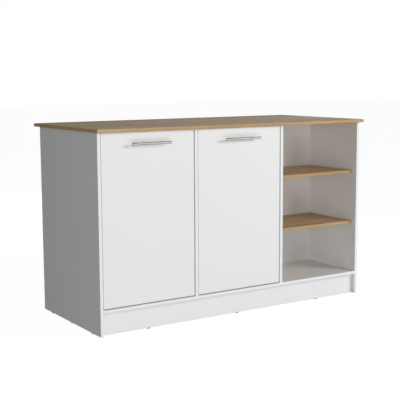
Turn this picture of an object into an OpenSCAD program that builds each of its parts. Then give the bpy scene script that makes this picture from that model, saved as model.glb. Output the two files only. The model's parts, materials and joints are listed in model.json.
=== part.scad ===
// Kitchen island unit: a white carcass of three equal bays on small glides, under an oak worktop.
// The left and middle bays have inset doors, hinged at their left edges; the right bay is open.
// The back board stands well forward of the panels' rear edges and leaves a knee space behind it.
// Millimetres. X runs to the right, Y to the rear, Z up; the origin is on the floor, in the middle.

/* [Carcass] */
// Clear width of each bay
bay_w = 471; // [400:1:560]
// Depth of the side panels
carcass_depth = 600; // [520:10:800]
// Clear depth of the bays, from the front edges to the back board
bay_depth = 363; // [300:1:420]
// Thickness of the side panels and partitions
panel_t = 15; // [15:1:19]
// Thickness of the deck
deck_t = 15; // [15:1:25]
// Thickness of the back board
back_t = 15; // [15:1:19]
// Height of the kick board
kick_h = 101; // [70:1:150]
// Thickness of the kick board
kick_t = 15; // [15:1:19]
// How far the kick board is set back from the front
kick_setback = 22; // [5:1:60]
// Thickness of the white edge bands
band_t = 1; // [0.5:0.1:2]

/* [Worktop] */
// Height of the worktop's top above the floor
worktop_height = 900; // [860:5:950]
// Thickness of the worktop
worktop_t = 15; // [15:1:30]
// How far the worktop stands out past each side panel
side_overhang = 8.5; // [4:0.5:40]
// How far the worktop stands out past the front edges
front_overhang = 22; // [5:1:60]
// How far the worktop stands out past the panels' rear edges
rear_overhang = 50; // [5:1:150]
// Thickness of the oak edge bands on the worktop and the open shelves
oak_band_t = 2; // [1:0.5:3]

/* [Shelves] */
// Thickness of the shelves
shelf_t = 15; // [15:1:25]
// How far the open shelves are set back from the front
open_shelf_setback = 30; // [10:1:80]
// How far the shelves behind the doors are set back from the front
cabinet_shelf_setback = 60; // [45:1:120]
// Play between a shelf and the boards beside and behind it
shelf_play = 0.8; // [0.3:0.1:2]
// Diameter of a shelf pin
pin_d = 5; // [4:0.5:6]
// How deep a shelf pin goes into its board
pin_bite = 6.5; // [5:0.5:7]
// Length of the tongue that a shelf pin puts under its shelf
tongue_len = 10; // [7:1:14]
// Distance from a shelf's front or rear edge to its pins
pin_inset = 40; // [25:1:90]

/* [Doors] */
// Thickness of the doors
door_t = 15; // [15:1:18]
// Gap at a door's hinged edge
hinge_gap = 2; // [1.8:0.1:3]
// Gap at a door's free edge
latch_gap = 6; // [2:0.5:6]
// Gap above a door
head_gap = 2; // [1.5:0.5:6]
// Gap below a door
foot_gap = 5; // [2:0.5:6]
// Thickness of the door stops, across the door
stop_w = 16; // [10:1:20]
// Thickness of the soft bumpers on the door stops
bumper_h = 2; // [1:0.5:4]

/* [Handles] */
// Length of a handle's bar
bar_len = 196; // [150:1:320]
// Diameter of a handle's bar
bar_d = 12; // [10:0.5:14]
// Distance between a handle's posts
post_pitch = 128; // [96:1:144]
// Diameter of a handle's post
post_d = 9; // [8:0.5:10]
// Clear gap between the door and the bar
finger_gap = 22; // [14:1:28]
// Distance from a door's top edge to the middle of its handle
handle_drop = 50; // [30:1:120]

/* [Hinges] */
// Diameter of a hinge cup
cup_d = 35; // [32:1:36]
// Depth of a hinge cup
cup_depth = 12; // [11.5:0.1:12.5]
// Distance from the door's edge to the rim of the cup
cup_edge = 5; // [4:0.5:6]
// Diameter of a hinge pin
hinge_pin_d = 2.5; // [2:0.1:2.6]
// Distance from a door's top or bottom edge to the middle of a hinge
hinge_inset = 100; // [70:5:160]
// Width of a hinge arm
arm_w = 12; // [10:0.5:12]

/* [Fixings] */
// Diameter of a dowel
dowel_d = 8; // [6:1:8]
// Length of a dowel
dowel_len = 30; // [25:1:35]
// Diameter of a cam lock
cam_d = 15; // [12:1:16]
// Distance from a board's end to its cam locks
cam_inset = 24; // [20:1:34]
// Leg length of a worktop bracket
bracket_leg = 30; // [24:1:40]
// Thickness of a worktop bracket
bracket_t = 2; // [1.5:0.5:3]
// Width and height of a corner block behind the kick board
block_leg = 18; // [16:1:25]
// Diameter of a glide
glide_d = 15; // [12:1:16]
// Height of a glide
glide_h = 4; // [3:0.5:6]

/* [Hidden] */
$fn = 48;

// Clearances
fit = 0.05;         // all round a screw, pin or dowel in its hole
cup_play = 0.1;     // all round a hinge cup in its door
loose_fit = 0.5;    // all round a screw or its head where it only passes through
rest_gap = 0.3;     // between pieces that pass or meet without touching
hole_extra = 0.5;   // a blind hole is this much deeper than what it holds
through = 1;        // a cutter runs this far past the face that it breaks

// Carcass
bay_count = 3;
door_bays = [0, 1];
open_bay = 2;
carcass_w = bay_count * bay_w + (bay_count + 1) * panel_t;
inner_w = carcass_w - 2 * panel_t;
left_x = -carcass_w / 2;
inner_x = inner_w / 2;
panel_z = glide_h;
deck_z = glide_h + kick_h;
floor_z = deck_z + deck_t;
head_z = worktop_height - worktop_t;
panel_h = head_z - panel_z;
clear_h = head_z - floor_z;
back_rear = bay_depth + back_t;
worktop_w = carcass_w + 2 * side_overhang;
worktop_d = carcass_depth + front_overhang + rear_overhang;
function bay_x(i) = left_x + panel_t + i * (bay_w + panel_t);
function bay_right(i) = bay_x(i) + bay_w;
function bay_mid(i) = bay_x(i) + bay_w / 2;
// The two partitions' middles, and with them the two side panels' middles
partition_mids = [for (i = [1:bay_count - 1]) bay_x(i) - panel_t / 2];
panel_mids = [left_x + panel_t / 2, -left_x - panel_t / 2];

// Handles, measured forward of the doors
bar_r = bar_d / 2;
bar_out = finger_gap + bar_r;
handle_proud = finger_gap + bar_d;
bar_round = 1.2;
spigot_d = 6;
spigot_len = 3;
spigot_root = 2;

// The front edges' place in the model, which has its origin in the middle of its own footprint
front_y = (max(handle_proud, front_overhang) - carcass_depth - rear_overhang) / 2;

// Shelves
open_shelf_gap = (clear_h - 2 * shelf_t) / 3;
lower_shelf_z = floor_z + open_shelf_gap;
upper_shelf_z = lower_shelf_z + shelf_t + open_shelf_gap;
cabinet_shelf_z = floor_z + (clear_h - shelf_t) / 2;
shelf_w = bay_w - 2 * shelf_play;
tongue_t = 1.5;
tongue_w = 8;
shelf_rows = [[0, cabinet_shelf_z, cabinet_shelf_setback], [1, cabinet_shelf_z, cabinet_shelf_setback],
    [open_bay, lower_shelf_z, open_shelf_setback], [open_bay, upper_shelf_z, open_shelf_setback]];

// Doors
door_w = bay_w - hinge_gap - latch_gap;
door_h = clear_h - head_gap - foot_gap;
door_z = floor_z + foot_gap;
door_top = door_z + door_h;
door_round = 0.8 * band_t;
function door_x(i) = bay_x(i) + hinge_gap;
handle_z = door_top - handle_drop;
stop_h = 30;
stop_d = 24;
stop_y = door_t + rest_gap + bumper_h;
stop_inset = 40;
stop_levels = [door_z + stop_inset, door_top - stop_inset];
bumper_d = 8;

// Hinges, in their own frame: the origin is on the pin, X to the right, Y to the rear
cup_wall = 0.8;
cup_side = 1;
eye_r = 2.4;
pin_y = door_t - cup_depth + cup_wall + rest_gap + eye_r;
pin_from_edge = 16.5;
cup_x = cup_edge + cup_d / 2 - pin_from_edge;
mouth_y = door_t - pin_y;
floor_y = mouth_y - cup_depth;
flange_t = 1.2;
flange_lip = 1;
wing_reach = 24;
wing_offset = 6;
wing_r = 7;
cup_screw_len = 9;
lug_t = 3;
lug_z = arm_w / 2 + rest_gap;
hinge_pin_len = 2 * (lug_z + lug_t);
face_x = -(pin_from_edge + hinge_gap);
arm_t = 2;
arm_angle = 30;
arm_reach = 20;
arm_crank = 17;
arm_back = mouth_y + arm_crank;
plate_h = 4.5;
plate_from_door = 37;
plate_y = door_t + plate_from_door - pin_y;
plate_len = 44;
plate_rib = 14;
wing_plate_t = 1.5;
wing_plate_w = 12;
plate_screw_pitch = 32;
body_t = 5;
body_x = face_x + plate_h;
body_short = 4;
body_end = plate_y + plate_len / 2 - body_short;
arm_screw_shift = 8;
arm_screw_y = plate_y + arm_screw_shift;
arm_out = [arm_reach * cos(arm_angle), arm_reach * sin(arm_angle)];
arm_turn = [arm_out[0], arm_back];
arm_side = [body_x + body_t / 2, arm_back];
hinge_levels = [door_z + hinge_inset, door_top - hinge_inset];

// Screws: shank diameter, length under the head, head diameter, head height
screw = [3.5, 13, 7, 2.2];
cup_screw = [3.5, cup_screw_len, 6.5, 1.8];
plate_screw = [3.5, 12, 6.5, 1.8];
arm_screw_end = 1;
arm_screw = [4, body_t + plate_h - arm_screw_end, 7, 2];
stop_bite = 9;
stop_screw = [3.5, stop_w + stop_bite, 7, 2.2];
post_bite = 8;
handle_screw = [4, door_t + post_bite, 8, 2.6];
tip_len = 3;
recess_t = 1;
confirmat_head_d = 10;
confirmat_head_h = 3;
confirmat_neck_d = 7;
confirmat_neck = 12;
confirmat_d = 5;
confirmat_len = 50;
socket_af = 4;
socket_depth = 2.5;
cap_d = 14;
cap_rim = 0.5;
cap_crown = 0.9;
cap_slope = 2;
cap_peg_d = 3.2;
cap_peg = 2;

// Where the fixings sit, from the front edges or the floor
dowel_bite = 8;
dowel_chamfer = 1;
dowel_from_edge = 65;
dowel_from_back = 102;
dowel_ys = [dowel_from_edge, bay_depth - dowel_from_back];
rear_dowel_y = carcass_depth - dowel_from_edge;
cam_from_edge = 60;
deck_cam_ys = [cam_from_edge, bay_depth - cam_from_edge];
cam_from_top = 190;
back_cam_zs = [floor_z + cam_from_top / 2, head_z - cam_from_top];
back_dowel_z = panel_z + panel_h / 2;
cam_cover = 4.8;
bolt_rod_d = 6;
bolt_rod_bore = 8;
bolt_thread_d = 5;
bolt_bite = 10.5;
cavity_d = 7.6;
screw_from_edge = 70;
deck_screw_ys = [screw_from_edge, bay_depth - screw_from_edge];
back_screw_inset = 120;
back_screw_zs = [floor_z + back_screw_inset, head_z - back_screw_inset];
knee_mid = (back_rear + carcass_depth) / 2;
front_bracket_y = 140;
bracket_w = 30;
bracket_hole = 0.6 * bracket_leg;
block_w = 40;
block_screw_shift = 9;
block_screw_bite = 9;
block_sink = block_leg - screw[1] + block_screw_bite;
block_chamfer = 7;
glide_inset = 88;
nail_d = 2;
nail_head_d = 5;
nail_head_h = 1;
nail_head_z = 1;
nail_bite = 14;
glide_round = 1;

// ---------------------------------------------------------------- small helpers

// The unit's own frame: y = 0 is the plane of the front edges
module in_unit() { translate([0, front_y, 0]) children(); }

module rod(r, from, to) { translate([0, 0, from]) cylinder(r = r, h = to - from); }

// Turns what points up to the left or right, or to the front or rear
module point_x(side) { rotate([0, 90 * side, 0]) children(); }
module point_y(side) { rotate([-90 * side, 0, 0]) children(); }

// A pan-head screw: it points up, with the underside of its head at z = 0
module pan_screw(size) {
    difference() {
        union() {
            rod(size[0] / 2, 0, size[1] - tip_len);
            translate([0, 0, size[1] - tip_len])
                cylinder(d1 = size[0], d2 = size[0] / 3, h = tip_len);
            rotate_extrude() intersection() {
                translate([0, -size[3]]) square([size[2] / 2, size[3]]);
                lens_section(size[2] / 2, size[3]);
            }
        }
        for (a = [0, 90]) rotate([0, 0, a])
            translate([-size[2] / 4, -recess_t / 2, -size[3] - through])
                cube([size[2] / 2, recess_t, size[3] / 2 + through]);
    }
}

// A circle low enough that its part under y = 0 is a lens of this rim radius and crown height
module lens_section(rim, crown) {
    big = (rim * rim + crown * crown) / (2 * crown);
    translate([0, big - crown]) circle(r = big, $fn = 360);
}

module screw_bore(size) { rod(size[0] / 2 + fit, -through, size[1] + hole_extra); }

module machine_screw(size) {
    difference() {
        union() {
            rod(size[0] / 2, 0, size[1]);
            rod(size[2] / 2, -size[3], 0);
        }
        for (a = [0, 90]) rotate([0, 0, a])
            translate([-size[2] / 4, -recess_t / 2, -size[3] - through])
                cube([size[2] / 2, recess_t, size[3] / 2 + through]);
    }
}

// ---------------------------------------------------------------- where the fixings go
// Each of these draws its children once a fixing, with z along it.

// z = 0 is the joint between two boards, and z points into the one that takes dowel_bite
module at_dowels() {
    for (x = concat(partition_mids, panel_mids), y = dowel_ys) translate([x, y, head_z]) children();
    for (x = panel_mids) translate([x, rear_dowel_y, head_z]) children();
    for (side = [-1, 1]) {
        translate([side * inner_x, bay_depth / 2, deck_z + deck_t / 2]) point_x(side) children();
        translate([side * inner_x, bay_depth + back_t / 2, back_dowel_z]) point_x(side) children();
    }
}

// z points into a side panel, and x to the face in which the cam lock lies
module at_deck_cams() {
    for (side = [-1, 1], y = deck_cam_ys) translate([side * inner_x, y, deck_z + deck_t / 2])
        point_x(side) rotate([0, 0, side > 0 ? 0 : 180]) children();
}
module at_back_cams() {
    for (side = [-1, 1], z = back_cam_zs) translate([side * inner_x, bay_depth + back_t / 2, z])
        point_x(side) rotate([0, 0, 90]) children();
}

// z = 0 is the face that the screw's head lies in
module at_deck_screws() {
    for (x = partition_mids, y = deck_screw_ys) translate([x, y, deck_z]) children();
}
module at_back_screws() {
    for (x = partition_mids, z = back_screw_zs) translate([x, back_rear, z]) point_y(-1) children();
    for (i = [0:bay_count - 1])
        translate([bay_mid(i), back_rear, deck_z + deck_t / 2]) point_y(-1) children();
}

// x = 0 is the upright face, and z = 0 the worktop's underside
module at_brackets() {
    for (i = [0:bay_count - 1]) translate([bay_mid(i), back_rear, head_z]) rotate([0, 0, 90]) children();
    for (side = [-1, 1])
        translate([side * inner_x, knee_mid, head_z]) rotate([0, 0, side > 0 ? 180 : 0]) children();
    translate([bay_x(0), front_bracket_y, head_z]) children();
    translate([bay_right(1), front_bracket_y, head_z]) rotate([0, 0, 180]) children();
}

// y = 0 is the kick board's rear face, and z = 0 the deck's underside
module at_blocks() {
    for (i = [0:bay_count - 1]) translate([bay_mid(i), kick_setback + kick_t, deck_z]) children();
}

// z = 0 is the floor
module at_glides() {
    for (x = panel_mids, y = [glide_inset, carcass_depth / 2, carcass_depth - glide_inset])
        translate([x, y, 0]) children();
    for (i = [0:bay_count - 1], y = [kick_setback + kick_t / 2, bay_depth + back_t / 2])
        translate([bay_mid(i), y, 0]) children();
}

// x points into the bay from the face that holds the pin, and z = 0 is the shelf's underside
module at_pins() {
    for (row = shelf_rows, y = [row[2] + pin_inset, bay_depth - pin_inset]) {
        translate([bay_x(row[0]), y, row[1]]) children();
        translate([bay_right(row[0]), y, row[1]]) rotate([0, 0, 180]) children();
    }
}

// The hinge's own frame
module at_hinges(bays) {
    for (i = bays, z = hinge_levels) translate([door_x(i) + pin_from_edge, pin_y, z]) children();
}

// x points from the partition into the bay, and y = 0 is the stop's front face
module at_stops() {
    for (i = door_bays, z = stop_levels) translate([bay_right(i), stop_y, z]) children();
}

// y = 0 is the door's front face, with y to the rear; the origin is in the handle's middle
module at_handle(i) { translate([door_x(i) + door_w / 2, 0, handle_z]) children(); }
module at_posts(i) {
    at_handle(i) for (side = [-1, 1]) translate([side * post_pitch / 2, 0, 0]) children();
}

// ---------------------------------------------------------------- holes

module dowel_bores() {
    at_dowels() rod(dowel_d / 2 + fit, dowel_bite - dowel_len - hole_extra, dowel_bite + hole_extra);
}

module cam_bore(board_t) {
    rod(bolt_thread_d / 2 + fit, -through, bolt_bite + hole_extra);
    rod(bolt_rod_bore / 2, -cam_inset, 0);
    translate([board_t / 2 - cam_height(board_t) - fit, 0, -cam_inset])
        rotate([0, 90, 0]) cylinder(r = cam_d / 2 + fit, h = cam_height(board_t) + fit + through);
}
function cam_height(board_t) = board_t / 2 + cam_cover;
module cam_bores() {
    at_deck_cams() cam_bore(deck_t);
    at_back_cams() cam_bore(back_t);
}

module confirmat_shape(play, extra) {
    cylinder(d1 = confirmat_head_d + 2 * play, d2 = confirmat_neck_d + 2 * play, h = confirmat_head_h);
    rod(confirmat_neck_d / 2 + play, confirmat_head_h, confirmat_head_h + confirmat_neck);
    rod(confirmat_d / 2 + play, confirmat_head_h + confirmat_neck, confirmat_len + extra);
}
module confirmat_bore() {
    confirmat_shape(fit, hole_extra);
    rod(confirmat_head_d / 2 + fit, -through, 0);
}
module assembly_bores() {
    at_deck_screws() confirmat_bore();
    at_back_screws() confirmat_bore();
}

module bracket_bores() {
    at_brackets() {
        translate([bracket_t, 0, -bracket_hole]) point_x(-1) screw_bore(screw);
        translate([bracket_hole, 0, -bracket_t]) screw_bore(screw);
    }
}

module block_bores() {
    at_blocks() {
        translate([block_screw_shift, block_leg - block_sink, -block_leg / 2])
            point_y(-1) screw_bore(screw);
        translate([-block_screw_shift, block_leg / 2, -block_leg + block_sink])
            screw_bore(screw);
    }
}
module nail_bores() { at_glides() rod(nail_d / 2 + fit, glide_h - through, glide_h + nail_bite + hole_extra); }

module pin_bores() {
    at_pins() translate([0, 0, -tongue_t / 2]) point_x(-1)
        rod(pin_d / 2 + fit, -through, pin_bite + rest_gap);
}

module plate_bores() {
    at_hinges(door_bays) {
        for (side = [-1, 1])
            translate([face_x + wing_plate_t, plate_y, side * plate_screw_pitch / 2])
                point_x(-1) screw_bore(plate_screw);
    }
}

module stop_bores() {
    at_stops() translate([-stop_w, stop_d / 2, 0]) point_x(1) screw_bore(stop_screw);
}

// ---------------------------------------------------------------- boards

module upright(x, z, depth, rear_band) {
    translate([x, band_t, z]) cube([panel_t, depth - band_t - rear_band, head_z - z]);
}

module side_panel(x) {
    color("white") in_unit() difference() {
        upright(x, panel_z, carcass_depth, band_t);
        dowel_bores();
        cam_bores();
        bracket_bores();
        nail_bores();
        pin_bores();
        plate_bores();
    }
}
module left_side_panel() { side_panel(left_x); }
module right_side_panel() { side_panel(-left_x - panel_t); }

module partition(i) {
    color("white") in_unit() difference() {
        upright(bay_right(i), floor_z, bay_depth, 0);
        dowel_bores();
        assembly_bores();
        bracket_bores();
        pin_bores();
        plate_bores();
        stop_bores();
    }
}
module left_partition() { partition(0); }
module right_partition() { partition(1); }

module deck() {
    color("white") in_unit() difference() {
        translate([-inner_x, band_t, deck_z]) cube([inner_w, bay_depth - band_t, deck_t]);
        dowel_bores();
        cam_bores();
        assembly_bores();
        block_bores();
    }
}

module kick_board() {
    color("white") in_unit() difference() {
        translate([-inner_x, kick_setback, panel_z]) cube([inner_w, kick_t, kick_h]);
        block_bores();
        nail_bores();
    }
}

module back_board() {
    color("white") in_unit() difference() {
        translate([-inner_x, bay_depth, panel_z]) cube([inner_w, back_t, panel_h]);
        dowel_bores();
        cam_bores();
        assembly_bores();
        bracket_bores();
        nail_bores();
    }
}

module carcass_edge_bands() {
    color("whitesmoke") in_unit() {
        for (x = [left_x, -left_x - panel_t], y = [0, carcass_depth - band_t])
            translate([x, y, panel_z]) cube([panel_t, band_t, panel_h]);
        for (i = [0:bay_count - 2])
            translate([bay_right(i), 0, floor_z]) cube([panel_t, band_t, clear_h]);
        translate([-inner_x, 0, deck_z]) cube([inner_w, band_t, deck_t]);
    }
}

module worktop() {
    color("burlywood") in_unit() difference() {
        translate([-worktop_w / 2 + oak_band_t, oak_band_t - front_overhang, head_z])
            cube([worktop_w - 2 * oak_band_t, worktop_d - 2 * oak_band_t, worktop_t]);
        dowel_bores();
        bracket_bores();
    }
}

// Two long strips front and rear, and two short ones between them
module worktop_edge_bands() {
    color("peru") in_unit() translate([0, -front_overhang, head_z]) {
        for (y = [0, worktop_d - oak_band_t])
            translate([-worktop_w / 2, y, 0]) cube([worktop_w, oak_band_t, worktop_t]);
        for (x = [-worktop_w / 2, worktop_w / 2 - oak_band_t])
            translate([x, oak_band_t, 0])
                cube([oak_band_t, worktop_d - 2 * oak_band_t, worktop_t]);
    }
}

// ---------------------------------------------------------------- shelves

module shelf(i, z, setback) {
    in_unit() translate([bay_x(i) + shelf_play, setback, z])
        cube([shelf_w, bay_depth - shelf_play - setback, shelf_t]);
}
module lower_open_shelf() {
    color("burlywood") shelf(open_bay, lower_shelf_z, open_shelf_setback + oak_band_t);
}
module upper_open_shelf() {
    color("burlywood") shelf(open_bay, upper_shelf_z, open_shelf_setback + oak_band_t);
}
module open_shelf_edge_bands() {
    color("peru") in_unit() for (z = [lower_shelf_z, upper_shelf_z])
        translate([bay_x(open_bay) + shelf_play, open_shelf_setback, z])
            cube([shelf_w, oak_band_t, shelf_t]);
}
module left_cabinet_shelf() { color("white") shelf(0, cabinet_shelf_z, cabinet_shelf_setback); }
module right_cabinet_shelf() { color("white") shelf(1, cabinet_shelf_z, cabinet_shelf_setback); }

// A peg in the board and a flat tongue under the shelf
module shelf_pins() {
    color("silver") in_unit() at_pins() {
        translate([0, 0, -tongue_t / 2]) point_x(-1) rod(pin_d / 2, 0, pin_bite);
        translate([0, -tongue_w / 2, -tongue_t]) cube([tongue_len, tongue_w, tongue_t]);
        translate([0, 0, -tongue_t]) intersection() {
            point_x(1) rod(pin_d / 2, 0, tongue_len / 2);
            translate([0, -tongue_w / 2, -pin_d]) cube([tongue_len, tongue_w, pin_d]);
        }
    }
}

// ---------------------------------------------------------------- doors

// A strip's section: its outer corners are rounded
module band_section(width) {
    intersection() {
        square([band_t, width]);
        union() {
            square([band_t - door_round, width]);
            translate([0, door_round]) square([band_t, width - 2 * door_round]);
            for (v = [door_round, width - door_round])
                translate([band_t - door_round, v]) circle(r = door_round);
        }
    }
}

module door(i) {
    color("white") in_unit() difference() {
        translate([door_x(i) + band_t, 0, door_z + band_t])
            cube([door_w - 2 * band_t, door_t, door_h - 2 * band_t]);
        at_hinges([i]) {
            translate([cup_x, 0, 0]) point_y(1) rod(cup_d / 2 + cup_play, floor_y - cup_play, mouth_y + through);
            at_wings() screw_bore(cup_screw);
        }
        at_posts(i) point_y(1) rod(handle_screw[0] / 2 + loose_fit, -through, door_t + through);
    }
}
module left_door() { door(0); }
module right_door() { door(1); }

// The upright strips run the door's whole height, and the level ones fit between them
module door_edge_bands(i) {
    color("whitesmoke") in_unit() {
        for (side = [0, 1]) translate([door_x(i) + side * door_w, 0, door_z])
            mirror([1 - side, 0, 0]) translate([-band_t, 0, 0])
                linear_extrude(door_h) band_section(door_t);
        for (side = [0, 1]) translate([door_x(i) + band_t, 0, door_z + side * door_h])
            mirror([0, 0, 1 - side]) translate([0, 0, -band_t])
                rotate([90, 0, 90]) linear_extrude(door_w - 2 * band_t)
                    rotate([0, 0, 90]) mirror([0, 1, 0]) band_section(door_t);
    }
}
module left_door_edge_bands() { door_edge_bands(0); }
module right_door_edge_bands() { door_edge_bands(1); }

// ---------------------------------------------------------------- handles

module handle_bar(i) {
    color("silver") in_unit() difference() {
        at_handle(i) translate([-bar_len / 2, -bar_out, 0]) rotate([0, 90, 0]) rotate_extrude()
            bar_profile();
        at_posts(i) translate([0, -bar_out, 0]) point_y(1)
            rod(spigot_d / 2 + fit, bar_r - spigot_len - hole_extra, bar_r + through);
    }
}
// Half of the bar's lengthways section, with rounded ends
module bar_profile() {
    square([bar_r - bar_round, bar_len]);
    translate([0, bar_round]) square([bar_r, bar_len - 2 * bar_round]);
    for (v = [bar_round, bar_len - bar_round]) translate([bar_r - bar_round, v]) circle(r = bar_round);
}
module left_handle_bar() { handle_bar(0); }
module right_handle_bar() { handle_bar(1); }

// A post is cut to the bar's curve, and its spigot goes into the bar
module handle_posts(i) {
    color("silver") in_unit() at_posts(i) difference() {
        union() {
            difference() {
                point_y(-1) rod(post_d / 2, 0, bar_out);
                translate([-post_d, -bar_out, 0]) point_x(1) rod(bar_r + fit, 0, 2 * post_d);
            }
            point_y(-1) rod(spigot_d / 2, finger_gap - spigot_root, finger_gap + spigot_len);
        }
        point_y(-1) rod(handle_screw[0] / 2 + fit, -through, handle_screw[1] - door_t + hole_extra);
    }
}
module left_handle_posts() { handle_posts(0); }
module right_handle_posts() { handle_posts(1); }

module handle_screws(i) {
    color("gray") in_unit() at_posts(i) translate([0, door_t, 0]) point_y(-1) machine_screw(handle_screw);
}
module left_handle_screws() { handle_screws(0); }
module right_handle_screws() { handle_screws(1); }

// ---------------------------------------------------------------- hinges

// The two screw holes of a cup's flange; z points forward, into the door
module at_wings() {
    for (side = [-1, 1]) translate([cup_x + wing_offset, mouth_y + flange_t, side * wing_reach])
        point_y(-1) children();
}

module hinge_cup() {
    difference() {
        union() {
            translate([cup_x, 0, 0]) point_y(1) rod(cup_d / 2, floor_y, mouth_y + flange_t);
            translate([cup_x, 0, 0]) point_y(1) rod(cup_d / 2 + flange_lip, mouth_y, mouth_y + flange_t);
            at_wings() rod(wing_r, 0, flange_t);
            translate([cup_x + wing_offset - wing_r, mouth_y, -wing_reach])
                cube([2 * wing_r, flange_t, 2 * wing_reach]);
        }
        translate([cup_x, 0, 0]) point_y(1)
            rod(cup_d / 2 - cup_side, floor_y + cup_wall, mouth_y + flange_t + through);
        at_wings() rod(cup_screw[0] / 2 + fit, -through, flange_t + through);
    }
    for (side = [-1, 1]) difference() {
        translate([0, 0, side > 0 ? lug_z : -lug_z - lug_t]) linear_extrude(lug_t) union() {
            circle(r = eye_r);
            translate([-eye_r, floor_y + cup_wall / 2]) square([2 * eye_r, -floor_y - cup_wall / 2]);
        }
        rod(hinge_pin_d / 2 + fit, -hinge_pin_len, hinge_pin_len);
    }
}
module hinge_cups(i) { color("silver") in_unit() at_hinges([i]) hinge_cup(); }
module left_hinge_cups() { hinge_cups(0); }
module right_hinge_cups() { hinge_cups(1); }

module hinge_pins(i) {
    color("gray") in_unit() at_hinges([i]) rod(hinge_pin_d / 2, -hinge_pin_len / 2, hinge_pin_len / 2);
}
module left_hinge_pins() { hinge_pins(0); }
module right_hinge_pins() { hinge_pins(1); }

module cup_screws(i) { color("gray") in_unit() at_hinges([i]) at_wings() pan_screw(cup_screw); }
module left_cup_screws() { cup_screws(0); }
module right_cup_screws() { cup_screws(1); }

// A strip of the arm's section, with round ends, from one point to another
module strip(from, to) {
    run = to - from;
    translate(from) rotate([0, 0, atan2(run[1], run[0])]) {
        translate([0, -arm_t / 2]) square([norm(run), arm_t]);
        circle(d = arm_t);
        translate([norm(run), 0]) circle(d = arm_t);
    }
}

// The arm leaves the cup, goes back past the door's swinging corner and runs along the panel
module hinge_arm() {
    difference() {
        union() {
            translate([0, 0, -arm_w / 2]) linear_extrude(arm_w) {
                circle(r = eye_r);
                strip([0, 0], arm_out);
                strip(arm_out, arm_turn);
                strip(arm_turn, arm_side);
            }
            translate([body_x, arm_back - arm_t / 2, -arm_w / 2])
                cube([body_t, body_end - arm_back + arm_t / 2, arm_w]);
        }
        rod(hinge_pin_d / 2 + fit, -arm_w, arm_w);
        translate([body_x, arm_screw_y, 0]) point_x(1) rod(arm_screw[0] / 2 + fit, -through, body_t + through);
    }
}
module hinge_arms() { color("silver") in_unit() at_hinges(door_bays) hinge_arm(); }

module hinge_arm_screws() {
    color("gray") in_unit() at_hinges(door_bays)
        translate([body_x + body_t, arm_screw_y, 0]) point_x(-1) machine_screw(arm_screw);
}

module hinge_plate() {
    difference() {
        union() {
            translate([face_x, plate_y - plate_len / 2, -plate_rib / 2])
                cube([plate_h, plate_len, plate_rib]);
            translate([face_x, plate_y - wing_plate_w / 2, -plate_screw_pitch / 2])
                cube([wing_plate_t, wing_plate_w, plate_screw_pitch]);
            for (side = [-1, 1]) translate([face_x, plate_y, side * plate_screw_pitch / 2])
                point_x(1) rod(wing_plate_w / 2, 0, wing_plate_t);
        }
        for (side = [-1, 1]) translate([face_x, plate_y, side * plate_screw_pitch / 2])
            point_x(1) rod(plate_screw[0] / 2 + fit, -through, wing_plate_t + through);
        translate([face_x, arm_screw_y, 0]) point_x(1) rod(arm_screw[0] / 2 + fit, -through, plate_h + through);
    }
}
module hinge_plates() { color("silver") in_unit() at_hinges(door_bays) hinge_plate(); }

module hinge_plate_screws() {
    color("gray") in_unit() at_hinges(door_bays) for (side = [-1, 1])
        translate([face_x + wing_plate_t, plate_y, side * plate_screw_pitch / 2])
            point_x(-1) pan_screw(plate_screw);
}

// ---------------------------------------------------------------- door stops

module door_stops() {
    color("white") in_unit() at_stops() difference() {
        translate([-stop_w, 0, -stop_h / 2]) cube([stop_w, stop_d, stop_h]);
        translate([-stop_w, stop_d / 2, 0]) point_x(1) rod(stop_screw[0] / 2 + fit, -through, stop_w + through);
    }
}
module door_bumpers() {
    color("lightgray") in_unit() at_stops()
        translate([-(stop_w + latch_gap) / 2, 0, 0]) point_y(-1) rod(bumper_d / 2, 0, bumper_h);
}
module door_stop_screws() {
    color("gray") in_unit() at_stops() translate([-stop_w, stop_d / 2, 0]) point_x(1) pan_screw(stop_screw);
}

// ---------------------------------------------------------------- fixings

module cam_lock(board_t) {
    high = cam_height(board_t);
    translate([board_t / 2 - high, 0, -cam_inset]) difference() {
        rotate([0, 90, 0]) cylinder(d = cam_d, h = high);
        translate([high - board_t / 2, 0, -cavity_d / 2]) cylinder(d = cavity_d, h = cam_d);
        for (a = [0, 90]) translate([high, 0, 0]) rotate([a, 0, 0])
            translate([-socket_depth, -cam_d / 3, -recess_t]) cube([2 * socket_depth, cam_d / 1.5, 2 * recess_t]);
    }
}
module cam_locks() {
    color("silver") in_unit() {
        at_deck_cams() cam_lock(deck_t);
        at_back_cams() cam_lock(back_t);
    }
}

module cam_bolt() {
    rod(bolt_thread_d / 2, 0, bolt_bite);
    rod(bolt_rod_d / 2, -cam_inset + cavity_d / 4, 0);
}
module cam_bolts() {
    color("gray") in_unit() {
        at_deck_cams() cam_bolt();
        at_back_cams() cam_bolt();
    }
}

module dowels() {
    r = dowel_d / 2;
    color("tan") in_unit() at_dowels() translate([0, 0, dowel_bite - dowel_len]) {
        cylinder(r1 = r - dowel_chamfer, r2 = r, h = dowel_chamfer);
        rod(r, dowel_chamfer, dowel_len - dowel_chamfer);
        translate([0, 0, dowel_len - dowel_chamfer])
            cylinder(r1 = r, r2 = r - dowel_chamfer, h = dowel_chamfer);
    }
}

module confirmat() {
    difference() {
        confirmat_shape(0, 0);
        translate([0, 0, -through])
            cylinder(d = socket_af / cos(30), h = socket_depth + through, $fn = 6);
    }
}
module assembly_screws() {
    color("gray") in_unit() {
        at_deck_screws() confirmat();
        at_back_screws() confirmat();
    }
}

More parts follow.
